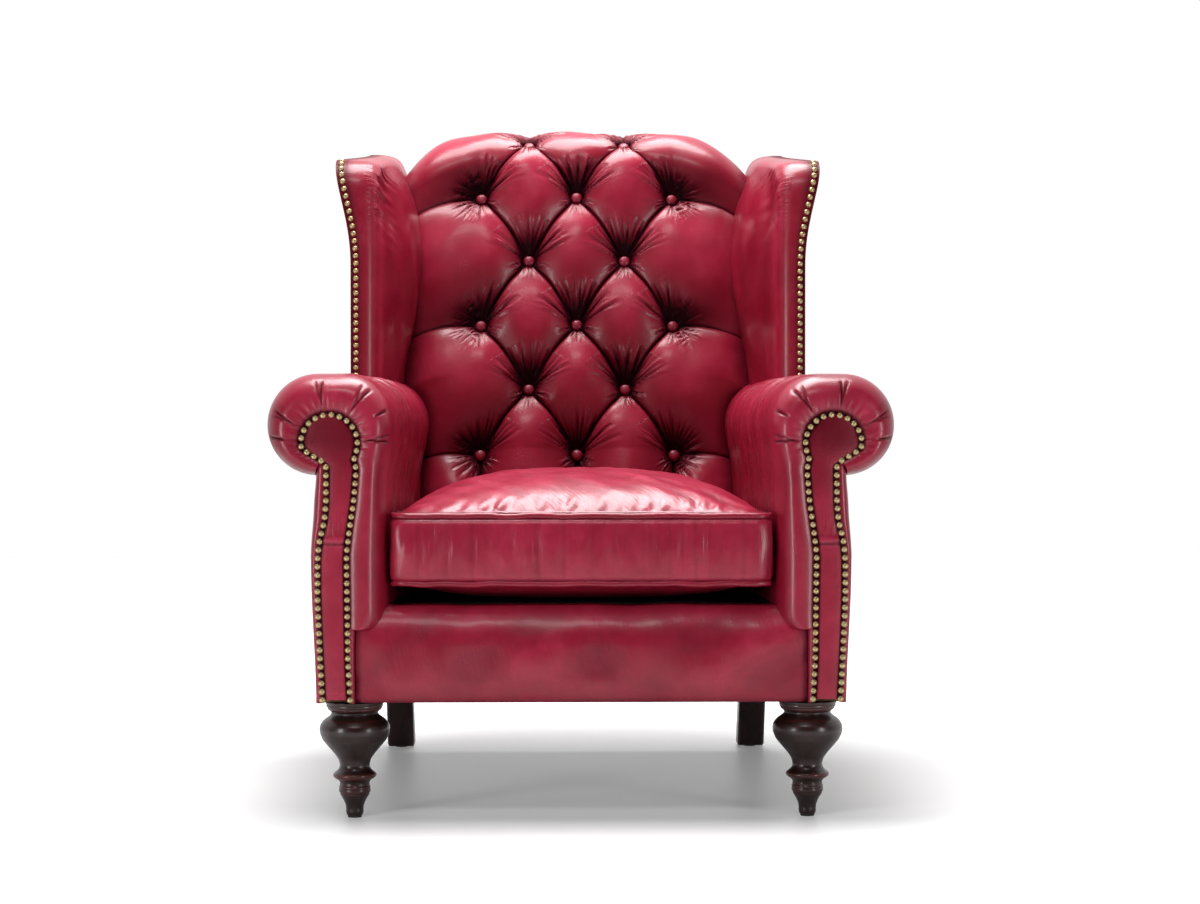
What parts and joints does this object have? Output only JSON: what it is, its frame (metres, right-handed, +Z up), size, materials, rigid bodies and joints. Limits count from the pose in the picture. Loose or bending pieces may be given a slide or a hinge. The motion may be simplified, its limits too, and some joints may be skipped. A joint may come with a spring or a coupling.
{
  "type": "chesterfield armchair",
  "caption": "High-backed wing armchair in deep-buttoned leather, with rolled arms, nailed arm facings, a loose seat cushion, turned front legs and raked rear legs.",
  "frame": {"origin": "on the floor, at the centre of the footprint of the whole chair", "axes": "+Z up; the front faces -Y; +X to the right as seen from the front"},
  "size_m": [0.8874, 0.8539, 1.0567],
  "materials": {
    "leather": "satin",
    "outside_leather": "satin",
    "antique_brass": "satin",
    "mahogany": "satin",
    "beech": "matte",
    "stuffing": "matte",
    "webbing": "matte",
    "black_cloth": "matte",
    "spring_steel": "satin",
    "nylon": "matte",
    "zip_metal": "satin"
  },
  "bodies": {
    "chair": {"front_rail": "beech", "rear_rail": "beech", "side_rail_left": "beech", "side_rail_right": "beech", "corner_blocks": "beech", "arm_post_left": "beech", "arm_post_right": "beech", "arm_rail_left": "beech", "arm_rail_right": "beech", "arm_liners": "beech", "back_post_left": "beech", "back_post_right": "beech", "crest_rail": "beech", "back_lower_rail": "beech", "wing_board_left": "beech", "wing_board_right": "beech", "seat_springs": "spring_steel", "spring_clips": "spring_steel", "back_webbing": "webbing", "deck_pad": "stuffing", "deck_cover": "black_cloth", "dust_cover": "black_cloth", "border_pad": "stuffing", "border_cover": "leather", "arm_pad_left": "stuffing", "arm_pad_right": "stuffing", "inside_arm_cover_left": "leather", "inside_arm_cover_right": "leather", "outside_arm_cover_left": "outside_leather", "outside_arm_cover_right": "outside_leather", "arm_facing_left": "leather", "arm_facing_right": "leather", "arm_end_panel_left": "outside_leather", "arm_end_panel_right": "outside_leather", "wing_pad_left": "stuffing", "wing_pad_right": "stuffing", "inside_wing_cover_left": "leather", "inside_wing_cover_right": "leather", "outside_wing_cover_left": "outside_leather", "outside_wing_cover_right": "outside_leather", "back_pad": "stuffing", "crest_pad": "stuffing", "inside_back_cover": "leather", "outside_back_cover": "outside_leather", "back_buttons": "leather", "arm_nails": "antique_brass", "wing_nails": "antique_brass", "front_leg_left": "mahogany", "front_leg_right": "mahogany", "rear_leg_left": "mahogany", "rear_leg_right": "mahogany", "leg_bolts": "spring_steel", "glides": "nylon"},
    "seat_cushion": {"cushion_foam": "stuffing", "cushion_top": "leather", "cushion_bottom": "leather", "cushion_boxing": "leather", "cushion_piping": "leather", "cushion_zip": "black_cloth"},
    "zip_slider": {"zip_slider": "zip_metal"}
  },
  "joints": [
    {"name": "cushion_draw_out", "type": "slide", "parent": "chair", "child": "seat_cushion", "axis": [0, -0.9903, 0.1392], "range_m": [0, 0.56]},
    {"name": "zip_slide", "type": "slide", "parent": "seat_cushion", "child": "zip_slider", "axis": [1, 0, 0], "range_m": [0, 0.405]}
  ]
}
